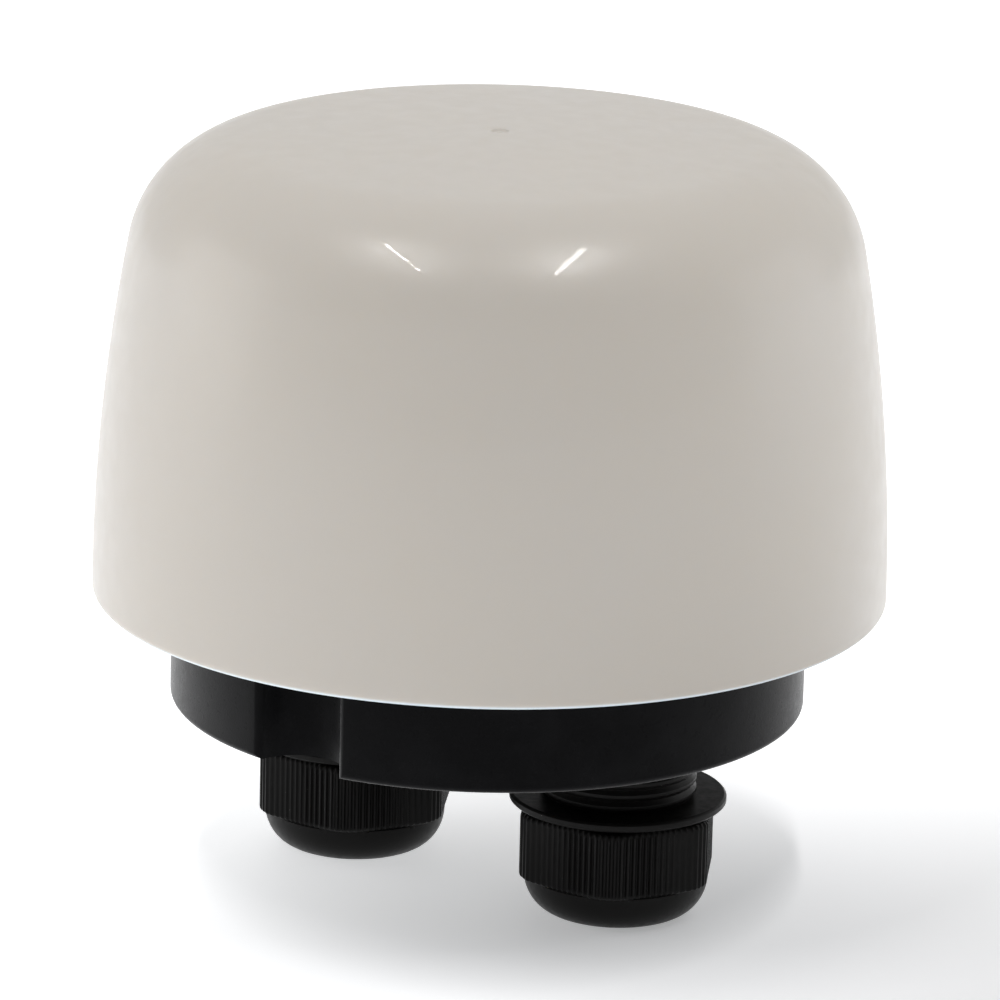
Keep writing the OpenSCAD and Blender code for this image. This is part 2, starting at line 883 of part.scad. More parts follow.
module upper_plate() {
    color(zinc)
        translate([0, 0, upper_plate_z])
            linear_extrude(plate_t)
                difference() {
                    intersection() {
                        circle(r = plate_r);
                        translate([upper_plate_reach - 80, -40])
                            square([80, 80]);
                    }
                    circle(r = upper_bush_r);
                    for (s = ends)
                        translate([0, s * scallop_y])
                            circle(r = cover_boss_r + 1.5);
                    translate(motor_at)
                        circle(r = motor_spigot_r);
                    plate_holes();
                    for (p = motor_ears())
                        translate(p)
                            circle(r = motor_screw_r);
                    for (s = ends)
                        translate([s * switch_hole, switch_hole_y])
                            circle(r = switch_screw_r);
                    for (p = board_fixings)
                        translate(p)
                            circle(r = board_screw_r);
                }
}

module chassis_screws() {
    color(steel)
        for (p = chassis_posts)
            translate(concat(polar(p[1], p[0]), [lower_plate_top]))
                screw(post_screw_r, 9, 2.7, 2);
}

// -- gear train --

module axle(at) {
    color(steel)
        translate(concat(at, [lower_plate_z]))
            cylinder(r = axle_r, h = upper_plate_top - lower_plate_z);
}

module first_axle() {
    axle(first_at);
}

module second_axle() {
    axle(second_at);
}

// A wheel and a pinion on one hub that runs on its axle
module idler(at, turn, wheel_module, wheel_z, pinion_module, pinion_z, pinion_top) {
    translate(concat(at, [0]))
        difference() {
            union() {
                translate([0, 0, idler_bottom])
                    cylinder(r = idler_hub_r, h = idler_top - idler_bottom);
                translate([0, 0, wheel_z])
                    linear_extrude(wheel_t)
                        rotate(turn)
                            gear_shape(wheel_module, idler_teeth);
                translate([0, 0, pinion_z])
                    linear_extrude(pinion_top - pinion_z)
                        rotate(turn)
                            gear_shape(pinion_module, pinion_teeth);
            }
            translate([0, 0, idler_bottom - 1])
                cylinder(r = axle_r + running_gap, h = idler_top - idler_bottom + 2);
            for (a = [0:72:288])
                translate(concat(polar(wheel_module * idler_teeth / 2 * 0.66, a + turn), [wheel_z - 1]))
                    cylinder(r = wheel_module * 2.2, h = wheel_t + 2);
        }
}

module first_idler() {
    color([0.85, 0.8, 0.6])
        idler(first_at, first_turn, first_module, first_wheel_z, second_module,
              output_gear_z + output_gear_t + 0.4, first_wheel_z);
}

module second_idler() {
    color(acetal)
        idler(second_at, second_turn, second_module, second_wheel_z, output_module,
              idler_bottom + 0.1, second_wheel_z);
}

// -- motor --

function motor_ears() = [for (s = ends) motor_at + s * polar(motor_ear, motor_polar - 90)];

module motor_flange() {
    color(zinc)
        difference() {
            union() {
                translate([0, 0, upper_plate_top])
                    linear_extrude(motor_flange_t) {
                        translate(motor_at)
                            circle(r = motor_r + 0.2);
                        bar(motor_ears()[0], motor_ears()[1], 2 * motor_ear_r - 0.6);
                        for (p = motor_ears())
                            translate(p)
                                circle(r = motor_ear_r);
                    }
                translate(concat(motor_at, [upper_plate_z]))
                    cylinder(r = motor_spigot_r, h = plate_t + 0.5);
                translate(concat(motor_at, [upper_plate_top]))
                    cylinder(r = bearing_boss_r, h = motor_flange_t + 1);
            }
            translate(concat(motor_at, [upper_plate_z - 1]))
                cylinder(r = rotor_shaft_r + running_gap, h = 6);
            for (p = motor_ears())
                translate(concat(p, [upper_plate_z]))
                    cylinder(r = motor_screw_r + 0.2, h = 5);
        }
}

module motor_cup() {
    color(steel)
        translate(concat(motor_at, [0]))
            difference() {
                union() {
                    tube(motor_r, motor_r - motor_wall, motor_cup_z, motor_top);
                    translate([0, 0, motor_top - motor_wall])
                        cylinder(r = motor_r, h = motor_wall);
                    translate([0, 0, rotor_shaft_top - 1.5])
                        cylinder(r = bearing_boss_r, h = 2.5);
                }
                translate([0, 0, motor_cup_z])
                    cylinder(r = rotor_shaft_r + running_gap, h = rotor_shaft_top - motor_cup_z + 0.2);
                rotate(motor_polar)
                    translate([motor_r - 3, -5, motor_top - 4])
                        cube([6, 10, 2]);
            }
}

module motor_coil() {
    color(bronze)
        translate(concat(motor_at, [0])) {
            tube(coil_outer_r - 1, coil_inner_r, motor_cup_z + 1, rotor_shaft_top - 3.5);
            for (z = [motor_cup_z + 1, rotor_shaft_top - 4.3])
                tube(coil_outer_r, coil_inner_r, z, z + 0.8);
        }
}

module motor_screws() {
    color(steel)
        for (p = motor_ears())
            translate(concat(p, [upper_plate_top + motor_flange_t]))
                screw(motor_screw_r, motor_flange_t + plate_t + 1, 2.3, 1.7);
}

module rotor_magnet() {
    color([0.25, 0.25, 0.27])
        translate(concat(motor_at, [0]))
            tube(rotor_r, rotor_shaft_r, motor_cup_z + 2, rotor_shaft_top - 4);
}

module rotor_shaft() {
    color(steel)
        translate(concat(motor_at, [rotor_shaft_z]))
            cylinder(r = rotor_shaft_r, h = rotor_shaft_top - rotor_shaft_z);
}

module motor_pinion() {
    color(brass)
        translate(concat(motor_at, [motor_pinion_z]))
            linear_extrude(motor_pinion_h)
                difference() {
                    rotate(motor_turn)
                        gear_shape(first_module, pinion_teeth);
                    circle(r = rotor_shaft_r);
                }
}

// -- limit switches --

module switch_case(z) {
    lug_t = 1.2;
    color(black)
        translate([0, 0, z])
            difference() {
                union() {
                    translate([-switch_w / 2, switch_face - switch_d, 0])
                        cube([switch_w, switch_d, switch_t]);
                    for (lug_z = [0, switch_t - lug_t])
                        translate([0, 0, lug_z]) {
                            translate([lever_pivot[0] - 1.2, switch_face - 0.1, 0])
                                cube([2.4, lever_pivot[1] - switch_face + 0.1, lug_t]);
                            translate(lever_pivot)
                                cylinder(r = 1.2, h = lug_t);
                        }
                    translate(lever_pivot)
                        cylinder(r = pivot_r, h = switch_t);
                }
                for (s = ends)
                    translate([s * switch_hole, switch_hole_y, -1])
                        cylinder(r = switch_screw_r + 0.1, h = switch_t + 2);
                translate([plunger_x, switch_face + 1, switch_t / 2])
                    rotate([90, 0, 0])
                        cylinder(r = plunger_r + 0.05, h = 4.5);
                for (k = [-1:1])
                    translate([k * tab_pitch - 0.3, switch_face - switch_d - 1, switch_t / 2 - 1.25])
                        cube([0.6, 3, 2.5]);
            }
}

module switch_lever(z, turn) {
    color(steel)
        translate([0, 0, z + (switch_t - lever_w) / 2])
            linear_extrude(lever_w)
                translate(lever_pivot)
                    rotate(turn)
                        translate(-lever_pivot)
                            difference() {
                                union() {
                                    bar(lever_pivot, lever_bend, lever_t);
                                    bar(lever_bend, roller_at, lever_t);
                                    translate(lever_bend)
                                        circle(r = lever_t / 2);
                                    translate(lever_pivot)
                                        circle(r = lever_eye_r);
                                    translate(roller_at)
                                        circle(r = roller_r);
                                }
                                translate(lever_pivot)
                                    circle(r = pivot_r + running_gap);
                            }
}

module switch_plunger(z, pressed) {
    color([0.75, 0.2, 0.16])
        translate([plunger_x, plunger_top - pressed, z + switch_t / 2])
            rotate([90, 0, 0])
                cylinder(r = plunger_r, h = 3.6);
}

module switch_case_closed() {
    switch_case(closed_switch_z);
}

module switch_lever_closed() {
    switch_lever(closed_switch_z, -lever_travel);
}

module switch_plunger_closed() {
    switch_plunger(closed_switch_z, plunger_stroke);
}

module switch_case_open() {
    switch_case(open_switch_z);
}

module switch_lever_open() {
    switch_lever(open_switch_z, 0);
}

module switch_plunger_open() {
    switch_plunger(open_switch_z, 0);
}

module switch_insulator() {
    color([0.8, 0.72, 0.5])
        translate([0, 0, closed_switch_z + switch_t])
            linear_extrude(insulator_t)
                difference() {
                    translate([-switch_w / 2, switch_face - switch_d - 2])
                        square([switch_w, switch_d + 2]);
                    for (s = ends)
                        translate([s * switch_hole, switch_hole_y])
                            circle(r = switch_screw_r + 0.1);
                }
}

module switch_terminals() {
    color(brass)
        for (z = [closed_switch_z, open_switch_z], k = [-1:1])
            translate([k * tab_pitch - 0.25, switch_face - switch_d - tab_l, z + switch_t / 2 - 1.2])
                cube([0.5, tab_l + 1.8, 2.4]);
}

module switch_screws() {
    top = open_switch_z + switch_t;
    color(steel)
        for (s = ends)
            translate([s * switch_hole, switch_hole_y, top])
                screw(switch_screw_r, top - upper_plate_z, 2.1, 1.5);
}

// -- circuit board --

module circuit_board() {
    color([0.12, 0.4, 0.22])
        translate([0, 0, board_z])
            linear_extrude(board_t)
                difference() {
                    intersection() {
                        circle(r = board_r);
                        translate([board_x[0], -board_y])
                            square([board_x[1] - board_x[0], 2 * board_y]);
                    }
                    for (p = board_fixings)
                        translate(p)
                            circle(r = board_screw_r + 0.15);
                }
}

module board_spacers() {
    color(acetal)
        for (p = board_fixings)
            translate(p)
                tube(2.5, board_screw_r + 0.15, upper_plate_top, board_z);
}

module board_screws() {
    color(steel)
        for (p = board_fixings)
            translate(concat(p, [board_top]))
                screw(board_screw_r, board_top - upper_plate_z, 2.4, 1.7);
}

function way_y(i) = (i - (ways - 1) / 2) * way_pitch;

module terminal_block() {
    cage_z = board_top + 2;
    color([0.24, 0.45, 0.3])
        difference() {
            translate([block_x, -block_w / 2, board_top])
                cube([block_d, block_w, block_h]);
            translate([block_x - 1, -block_w / 2 - 1, board_top + 9])
                cube([2.5, block_w + 2, 4]);
            for (i = [0:ways - 1]) {
                translate([block_x + 2.8, way_y(i) - cage_w / 2 - 0.1, cage_z - 0.1])
                    cube([block_d, cage_w + 0.2, cage_h + 0.2]);
                translate([block_x + 5.2, way_y(i), cage_z])
                    cylinder(r = 2, h = block_h);
            }
        }
}

module terminal_cages() {
    cage_z = board_top + 2;
    color(brass)
        for (i = [0:ways - 1])
            translate([block_x + 3.2, way_y(i) - cage_w / 2, cage_z])
                difference() {
                    cube([4.6, cage_w, cage_h]);
                    translate([-1, 0.6, 0.8])
                        cube([7, cage_w - 1.2, 3]);
                    translate([2, cage_w / 2, 2])
                        cylinder(r = 1.3, h = cage_h);
                }
}

module terminal_screws() {
    color(steel)
        for (i = [0:ways - 1])
            translate([block_x + 5.2, way_y(i), board_top + 2])
                difference() {
                    union() {
                        translate([0, 0, 4.2])
                            cylinder(r = 1.25, h = 2.5);
                        translate([0, 0, cage_h + 0.2])
                            cylinder(r = 1.85, h = 1.8);
                    }
                    translate([-2, -0.3, cage_h + 1])
                        cube([4, 0.6, 2]);
                }
}

module capacitor() {
    color([0.75, 0.6, 0.12])
        translate(concat(capacitor_at - [capacitor_size[0], capacitor_size[1]] / 2, [board_top]))
            cube(capacitor_size);
}

module status_lamps() {
    color([0.4, 0.75, 0.4])
        for (p = lamps)
            translate(concat(p, [board_top])) {
                cylinder(r = lamp_r + 0.3, h = 1);
                cylinder(r = lamp_r, h = 3.6);
                translate([0, 0, 3.6])
                    sphere(r = lamp_r, $fn = 32);
            }
}

module motor_leads() {
    color([0.75, 0.15, 0.12])
        for (path = motor_lead_paths)
            lead(path);
}

module switch_leads() {
    color([0.15, 0.25, 0.6])
        for (path = switch_lead_paths)
            lead(path);
}

cover();
cover_inserts();
cover_seal();
base();
cover_screws();
screw_seals();
mount_inserts();
gland_body_left();
gland_body_right();
gland_seal_left();
gland_seal_right();
gland_nut_left();
gland_nut_right();
lower_bush();
shaft_seal();
upper_bush();
output_shaft();
output_gear();
cam_closed();
cam_spacer();
cam_open();
retaining_ring();
lower_plate();
plate_pillars();
upper_plate();
chassis_screws();
first_axle();
first_idler();
second_axle();
second_idler();
motor_flange();
motor_cup();
motor_coil();
motor_screws();
rotor_magnet();
rotor_shaft();
motor_pinion();
switch_case_closed();
switch_lever_closed();
switch_plunger_closed();
switch_case_open();
switch_lever_open();
switch_plunger_open();
switch_insulator();
switch_terminals();
switch_screws();
circuit_board();
board_spacers();
board_screws();
terminal_block();
terminal_cages();
terminal_screws();
capacitor();
status_lamps();
motor_leads();
switch_leads();
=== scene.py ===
"""Looks of the motorised actuator head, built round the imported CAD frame.

Sizes are in metres, from the frame's boxes or written as a number times MM. The points of the
leads and the edge radii in REFINED are in millimetres. Angles are in degrees.
"""
import json
import math

import bmesh
import bpy
from mathutils import Matrix, Vector

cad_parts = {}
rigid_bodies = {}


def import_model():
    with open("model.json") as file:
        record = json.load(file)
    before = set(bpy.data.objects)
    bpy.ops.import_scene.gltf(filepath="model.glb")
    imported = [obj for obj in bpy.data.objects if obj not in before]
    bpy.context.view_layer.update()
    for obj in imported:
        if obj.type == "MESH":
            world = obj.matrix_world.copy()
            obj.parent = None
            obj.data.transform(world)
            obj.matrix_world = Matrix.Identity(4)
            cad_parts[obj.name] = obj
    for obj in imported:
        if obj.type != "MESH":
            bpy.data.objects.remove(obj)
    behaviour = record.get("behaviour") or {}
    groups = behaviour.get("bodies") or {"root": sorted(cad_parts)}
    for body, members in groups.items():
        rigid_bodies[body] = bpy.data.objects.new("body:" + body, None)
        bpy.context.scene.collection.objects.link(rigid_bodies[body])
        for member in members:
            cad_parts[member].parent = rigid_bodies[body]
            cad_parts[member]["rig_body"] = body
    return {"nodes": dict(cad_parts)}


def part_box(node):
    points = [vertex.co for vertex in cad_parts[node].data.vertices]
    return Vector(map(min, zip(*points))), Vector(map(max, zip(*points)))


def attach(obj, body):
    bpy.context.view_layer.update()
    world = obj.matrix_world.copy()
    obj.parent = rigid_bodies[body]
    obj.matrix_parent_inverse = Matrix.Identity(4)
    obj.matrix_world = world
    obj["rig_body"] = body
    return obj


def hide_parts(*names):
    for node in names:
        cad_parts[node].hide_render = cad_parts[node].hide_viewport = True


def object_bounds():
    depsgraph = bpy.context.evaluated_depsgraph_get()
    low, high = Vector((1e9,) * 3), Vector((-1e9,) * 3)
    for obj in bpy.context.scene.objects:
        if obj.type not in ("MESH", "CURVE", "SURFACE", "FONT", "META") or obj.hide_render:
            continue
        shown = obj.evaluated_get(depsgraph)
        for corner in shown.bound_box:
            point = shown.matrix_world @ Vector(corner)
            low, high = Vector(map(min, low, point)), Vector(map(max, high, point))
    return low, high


MM = 0.001
WELD = 1e-6
ON_AXIS = 1e-7
FLAT_ANGLE = 0.4
OVERCUT = 1 * MM
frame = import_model()
cad_low, cad_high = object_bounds()


# ---------------------------------------------------------------- mesh tools

def arc(cx, cz, radius, start, end, steps):
    """Points (r, z) along an arc about (cx, cz), from one angle to another in degrees."""
    turns = [math.radians(start + (end - start) * i / steps) for i in range(steps + 1)]
    return [(cx + radius * math.cos(t), cz + radius * math.sin(t)) for t in turns]


def rings_mesh(bm, rings, closed):
    """Joins rings of points, all of one length, into a skin of quads."""
    made = [[bm.verts.new(p) for p in ring] for ring in rings]
    count = len(made[0])
    pairs = list(zip(made, made[1:]))
    if closed:
        pairs.append((made[-1], made[0]))
    for low, high in pairs:
        for i in range(count):
            j = (i + 1) % count
            bm.faces.new((low[i], low[j], high[j], high[i]))
    return made


def lathe_mesh(bm, outline, segments, centre=(0.0, 0.0)):
    """Turns a closed outline of (r, z) points round a vertical axis."""
    start = len(bm.verts)
    rings = []
    for r, z in outline:
        ring = []
        for i in range(segments):
            t = 2 * math.pi * i / segments
            ring.append((centre[0] + r * math.cos(t), centre[1] + r * math.sin(t), z))
        rings.append(ring)
    rings_mesh(bm, rings, closed=True)
    bm.verts.ensure_lookup_table()
    poles = [v for v in bm.verts[start:]
             if math.hypot(v.co.x - centre[0], v.co.y - centre[1]) < ON_AXIS]
    bmesh.ops.remove_doubles(bm, verts=poles, dist=WELD)


def finished(name, bm, body, slot, replaces=(), crease=None):
    """Makes a piece from a bmesh: outward normals, smooth shading, a body, a finish."""
    bmesh.ops.recalc_face_normals(bm, faces=bm.faces)
    mesh = bpy.data.meshes.new(name)
    bm.to_mesh(mesh)
    bm.free()
    mesh.shade_smooth()
    if crease is not None:
        mesh.set_sharp_from_angle(angle=math.radians(crease))
    piece = bpy.data.objects.new(name, mesh)
    bpy.context.scene.collection.objects.link(piece)
    mesh.materials.append(finish_of(slot))
    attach(piece, body)
    if replaces:
        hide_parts(*replaces)
    return piece


def round_edges(piece, width, limit=30.0, segments=2):
    """Rounds edges sharper than the limit and keeps flat faces flat in the light.

    Where a mesh has very short edges the clamp leaves less than the width, or next to nothing.
    """
    bevel = piece.modifiers.new("rounded_edges", "BEVEL")
    bevel.width = width
    bevel.segments = segments
    bevel.limit_method = "ANGLE"
    bevel.angle_limit = math.radians(limit)
    bevel.use_clamp_overlap = True
    bevel.miter_outer = "MITER_ARC"
    weighted = piece.modifiers.new("weighted_normals", "WEIGHTED_NORMAL")
    weighted.keep_sharp = True
    weighted.weight = 100


def welded(node):
    """A copy of a CAD node's mesh with its seams welded and its flat faces made whole."""
    bm = bmesh.new()
    bm.from_mesh(frame["nodes"][node].data)
    bmesh.ops.remove_doubles(bm, verts=bm.verts, dist=WELD)
    bmesh.ops.dissolve_limit(bm, angle_limit=math.radians(FLAT_ANGLE), verts=bm.verts, edges=bm.edges)
    return bm


def refined(node, slot, width):
    """A piece that follows a CAD node and has rounded edges."""
    piece = finished(node + "_piece", welded(node), frame["nodes"][node]["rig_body"], slot, [node])
    round_edges(piece, width)


def smooth_path(points, steps):
    """A Catmull-Rom curve through the points."""
    points = [Vector(p) for p in points]
    path = []
    for i in range(len(points) - 1):
        p0 = points[max(i - 1, 0)]
        p1 = points[i]
        p2 = points[i + 1]
        p3 = points[min(i + 2, len(points) - 1)]
        for k in range(steps):
            t = k / steps
            path.append(0.5 * (2 * p1 + (p2 - p0) * t + (2 * p0 - 5 * p1 + 4 * p2 - p3) * t ** 2
                               + (3 * p1 - p0 - 3 * p2 + p3) * t ** 3))
    path.append(points[-1])
    return path


def tube_mesh(bm, path, radius, sides=16):
    """A round tube along a path, with flat ends."""
    across = Vector((0.1, 0.3, 1.0))
    rings = []
    for i, point in enumerate(path):
        along = (path[min(i + 1, len(path) - 1)] - path[max(i - 1, 0)]).normalized()
        across = (across - across.dot(along) * along).normalized()
        side = along.cross(across)
        turns = [2 * math.pi * k / sides for k in range(sides)]
        rings.append([point + radius * (math.cos(t) * across + math.sin(t) * side) for t in turns])
    made = rings_mesh(bm, rings, closed=False)
    bm.faces.new(made[0])
    bm.faces.new(made[-1])


# ---------------------------------------------------------------- materials

class Finish:
    """A material under construction: a Principled shader and the nodes that feed it."""

    def __init__(self, name, color, roughness, **settings):
        self.material = bpy.data.materials.new(name)
        self.material.use_nodes = True
        self.tree = self.material.node_tree
        self.shader = self.tree.nodes["Principled BSDF"]
        self.color = color
        self.shader.inputs["Base Color"].default_value = (*color, 1)
        self.shader.inputs["Roughness"].default_value = roughness
        for socket, value in settings.items():
            self.shader.inputs[socket.replace("_", " ")].default_value = value
        self.place = self.node("ShaderNodeTexCoord").outputs["Object"]
        self.normal = None

    def node(self, kind, **inputs):
        made = self.tree.nodes.new(kind)
        for key, value in inputs.items():
            self.put(made, key.replace("_", " "), value)
        return made

    def put(self, node, key, value):
        """Links a socket, or sets its value."""
        socket = node.inputs[key]
        if isinstance(value, bpy.types.NodeSocket):
            self.tree.links.new(value, socket)
        else:
            socket.default_value = value

    def noise(self, size, detail=3.0, stretch=(1, 1, 1)):
        """Cloudy noise from 0 to 1 whose features are about size across."""
        scaled = self.node("ShaderNodeMapping", Vector=self.place, Scale=[s / size for s in stretch])
        made = self.node("ShaderNodeTexNoise", Vector=scaled.outputs["Vector"], Scale=1.0,
                         Detail=detail)
        return made.outputs["Fac"]

    def cells(self, size):
        """Distance to the nearest point of a scatter about size apart."""
        scaled = self.node("ShaderNodeMapping", Vector=self.place, Scale=[1 / size] * 3)
        made = self.node("ShaderNodeTexVoronoi", Vector=scaled.outputs["Vector"], Scale=1.0)
        return made.outputs["Distance"]

    def span(self, value, low, high, to_low=0.0, to_high=1.0):
        """Maps a value from one span to another, clamped."""
        made = self.node("ShaderNodeMapRange", Value=value)
        for key, number in (("From Min", low), ("From Max", high),
                            ("To Min", to_low), ("To Max", to_high)):
            made.inputs[key].default_value = number
        return made.outputs["Result"]

    def math(self, operation, a, b=0.0):
        made = self.tree.nodes.new("ShaderNodeMath")
        made.operation = operation
        self.put(made, 0, a)
        self.put(made, 1, b)
        return made.outputs[0]

    def tint(self, amount, color):
        """Mixes another colour over the base colour where amount is high."""
        mix = self.tree.nodes.new("ShaderNodeMix")
        mix.data_type = "RGBA"
        socket = self.shader.inputs["Base Color"]
        if socket.is_linked:
            self.tree.links.new(socket.links[0].from_socket, mix.inputs[6])
        else:
            mix.inputs[6].default_value = (*self.color, 1)
        mix.inputs[7].default_value = (*color, 1)
        self.put(mix, 0, amount)
        self.tree.links.new(mix.outputs[2], socket)

    def shade(self, value, low, high):
        """Varies the base colour's brightness with a value."""
        self.tint(self.span(value, low, high), [c * 0.82 for c in self.color])

    def gloss(self, value, low, high):
        """Drives the roughness from a value between 0 and 1."""
        self.put(self.shader, "Roughness", self.span(value, 0.3, 0.7, low, high))

    def bump(self, height, depth):
        """Adds a height field of the given depth in metres."""
        made = self.node("ShaderNodeBump", Height=height, Distance=depth, Strength=1.0)
        if self.normal is not None:
            self.put(made, "Normal", self.normal)
        self.normal = made.outputs["Normal"]
        self.put(self.shader, "Normal", self.normal)


def opal_plastic():
    f = Finish("opal_plastic", (0.555, 0.516, 0.463), 0.34, Subsurface_Weight=0.2,
               Subsurface_Radius=(1.0, 0.8, 0.6), Subsurface_Scale=2.0 * MM, Coat_Weight=0.14,
               Coat_Roughness=0.03, Coat_IOR=1.5)
    f.tint(f.span(f.noise(22 * MM, 4), 0.35, 0.75, 0, 0.35), (0.55, 0.522, 0.49))
    # painted highlight: the base colour turns pale blue within 0.7 mm of the rim, fully so below 0.3
    # mm, standing in for the light the rounded rim catches from the floor
    height = f.node("ShaderNodeSeparateXYZ")
    f.put(height, 0, f.place)
    f.tint(f.span(height.outputs["Z"], RIM_Z + 0.7 * MM, RIM_Z + 0.3 * MM, 0, 1), (0.74, 0.84, 0.9))
    f.gloss(f.noise(3 * MM, 4), 0.30, 0.40)
    f.bump(f.noise(0.45 * MM, 2), 0.003 * MM)
    f.bump(f.noise(9 * MM, 2), 0.02 * MM)
    return f


def black_plastic():
    f = Finish("black_plastic", (0.0025, 0.0025, 0.003), 0.30, Specular_IOR_Level=0.03,
               Sheen_Weight=0.3, Sheen_Roughness=0.42)
    f.tint(f.span(f.noise(6 * MM, 5), 0.45, 0.8, 0, 0.6), (0.008, 0.008, 0.009))
    f.gloss(f.noise(1.2 * MM, 5), 0.25, 0.36)
    f.bump(f.noise(0.22 * MM, 3), 0.018 * MM)
    return f


def dusted(f, amount):
    """Sparse pale specks of dust."""
    near = f.span(f.cells(1.1 * MM), 0.045, 0.02)
    patch = f.span(f.noise(3 * MM, 3), 0.60, 0.68)
    f.tint(f.math("MULTIPLY", f.math("MULTIPLY", near, patch), amount), (0.55, 0.54, 0.5))


def black_nylon():
    f = Finish("black_nylon", (0.006, 0.0058, 0.0055), 0.33, Specular_IOR_Level=0.12)
    f.gloss(f.noise(0.9 * MM, 5), 0.30, 0.44)
    f.bump(f.noise(0.3 * MM, 3), 0.010 * MM)
    dusted(f, 0.8)
    return f


def rubber():
    f = Finish("rubber", (0.022, 0.022, 0.023), 0.62, Specular_IOR_Level=0.3)
    f.tint(f.span(f.noise(2 * MM, 5), 0.5, 0.8, 0, 0.7), (0.05, 0.05, 0.052))
    f.bump(f.noise(0.25 * MM, 3), 0.02 * MM)
    return f


def metal(name, color, roughness, grain, depth, stretch=(1, 1, 1)):
    """Bare or plated metal with stained patches and a fine grain."""
    f = Finish(name, color, roughness, Metallic=1.0)
    f.shade(f.noise(4 * MM, 5), 0.45, 0.8)
    f.gloss(f.noise(1.5 * MM, 5, stretch), roughness * 0.8, roughness * 1.35)
    f.bump(f.noise(grain, 3, stretch), depth)
    return f


def brass():
    return metal("brass", (0.80, 0.58, 0.26), 0.27, 0.25 * MM, 0.006 * MM, (0.15, 0.15, 1))


def bronze():
    f = metal("bronze", (0.50, 0.33, 0.18), 0.45, 0.2 * MM, 0.01 * MM)
    pores = f.span(f.cells(0.28 * MM), 0.12, 0.28)
    f.bump(pores, 0.02 * MM)
    return f


def steel():
    return metal("steel", (0.60, 0.60, 0.61), 0.28, 0.18 * MM, 0.004 * MM, (0.2, 0.2, 1))


def zinc_plate():
    f = metal("zinc_plate", (0.66, 0.66, 0.67), 0.30, 0.25 * MM, 0.005 * MM, (1, 0.08, 1))
    f.tint(f.span(f.cells(3.5 * MM), 0.2, 0.9, 0, 0.3), (0.52, 0.53, 0.56))
    return f


def satin(name, color, roughness=0.4, soft=0.0):
    """A plain moulded plastic with a satin skin."""
    f = Finish(name, color, roughness, Subsurface_Weight=soft, Subsurface_Scale=1.0 * MM)
    f.shade(f.noise(8 * MM, 5), 0.5, 0.9)
    f.gloss(f.noise(1.6 * MM, 4), roughness * 0.85, roughness * 1.2)
    f.bump(f.noise(0.3 * MM, 3), 0.006 * MM)
    return f


def copper():
    f = metal("copper", (0.62, 0.28, 0.12), 0.3, 0.2 * MM, 0.004 * MM)
    turns = f.node("ShaderNodeTexWave", Vector=f.place, Scale=1 / (2.2 * MM))
    turns.bands_direction = "Z"
    f.bump(turns.outputs["Fac"], 0.05 * MM)
    return f


def magnet():
    f = Finish("magnet", (0.06, 0.06, 0.065), 0.5, Metallic=0.6)
    f.tint(f.span(f.cells(0.5 * MM), 0.1, 0.5, 0.6, 0), (0.12, 0.12, 0.13))
    f.bump(f.noise(0.3 * MM, 4), 0.02 * MM)
    return f


def card():
    f = Finish("card", (0.60, 0.46, 0.24), 0.7)
    f.tint(f.span(f.noise(0.8 * MM, 6, (1, 0.15, 1)), 0.4, 0.7), (0.48, 0.36, 0.18))
    f.bump(f.noise(0.3 * MM, 5), 0.02 * MM)
    return f


def board():
    """Green lacquer with a faint relief that hints at tracks without drawing any circuit."""
    f = Finish("board", (0.012, 0.105, 0.045), 0.3, Coat_Weight=0.5, Coat_Roughness=0.15)
    scaled = f.node("ShaderNodeMapping", Vector=f.place, Scale=[1 / (1.6 * MM)] * 3)
    tracks = f.node("ShaderNodeTexVoronoi", Vector=scaled.outputs["Vector"], Scale=1.0)
    tracks.distance = "CHEBYCHEV"
    line = f.span(f.math("ABSOLUTE", f.math("SUBTRACT", tracks.outputs["Distance"], 0.42)), 0.1, 0.06)
    f.tint(line, (0.03, 0.19, 0.075))
    f.bump(line, 0.03 * MM)
    f.bump(f.noise(0.2 * MM, 3), 0.004 * MM)
    return f


def lamp():
    f = Finish("lamp", (0.25, 0.62, 0.28), 0.12, Transmission_Weight=0.55, IOR=1.49)
    f.tint(f.span(f.noise(1.2 * MM, 3), 0.4, 0.8, 0, 0.5), (0.18, 0.5, 0.2))
    f.bump(f.noise(0.5 * MM, 2), 0.003 * MM)
    return f


MAKERS = {
    "opal_plastic": opal_plastic, "black_plastic": black_plastic, "black_nylon": black_nylon,
    "rubber": rubber, "brass": brass, "bronze": bronze, "steel": steel, "zinc_plate": zinc_plate,
    "acetal": lambda: satin("acetal", (0.80, 0.79, 0.74), 0.38, 0.25),
    "ivory_plastic": lambda: satin("ivory_plastic", (0.74, 0.66, 0.45), 0.38, 0.2),
    "copper": copper, "magnet": magnet,
    "red_plastic": lambda: satin("red_plastic", (0.50, 0.035, 0.02), 0.36, 0.1),
    "blue_plastic": lambda: satin("blue_plastic", (0.02, 0.08, 0.36), 0.36, 0.1),
    "switch_plastic": lambda: satin("switch_plastic", (0.03, 0.03, 0.034), 0.42),
    "card": card, "board": board,
    "green_plastic": lambda: satin("green_plastic", (0.03, 0.22, 0.09), 0.4),
    "yellow_plastic": lambda: satin("yellow_plastic", (0.62, 0.36, 0.02), 0.2, 0.1),
    "lamp": lamp,
    "red_lead": lambda: satin("red_lead", (0.48, 0.02, 0.015), 0.35),
    "blue_lead": lambda: satin("blue_lead", (0.015, 0.05, 0.35), 0.35),
}
made_finishes = {}


def finish_of(slot):
    """The one material of a slot, made when it is first asked for."""
    if slot not in made_finishes:
        made_finishes[slot] = MAKERS[slot]().material
    return made_finishes[slot]


# ---------------------------------------------------------------- cover

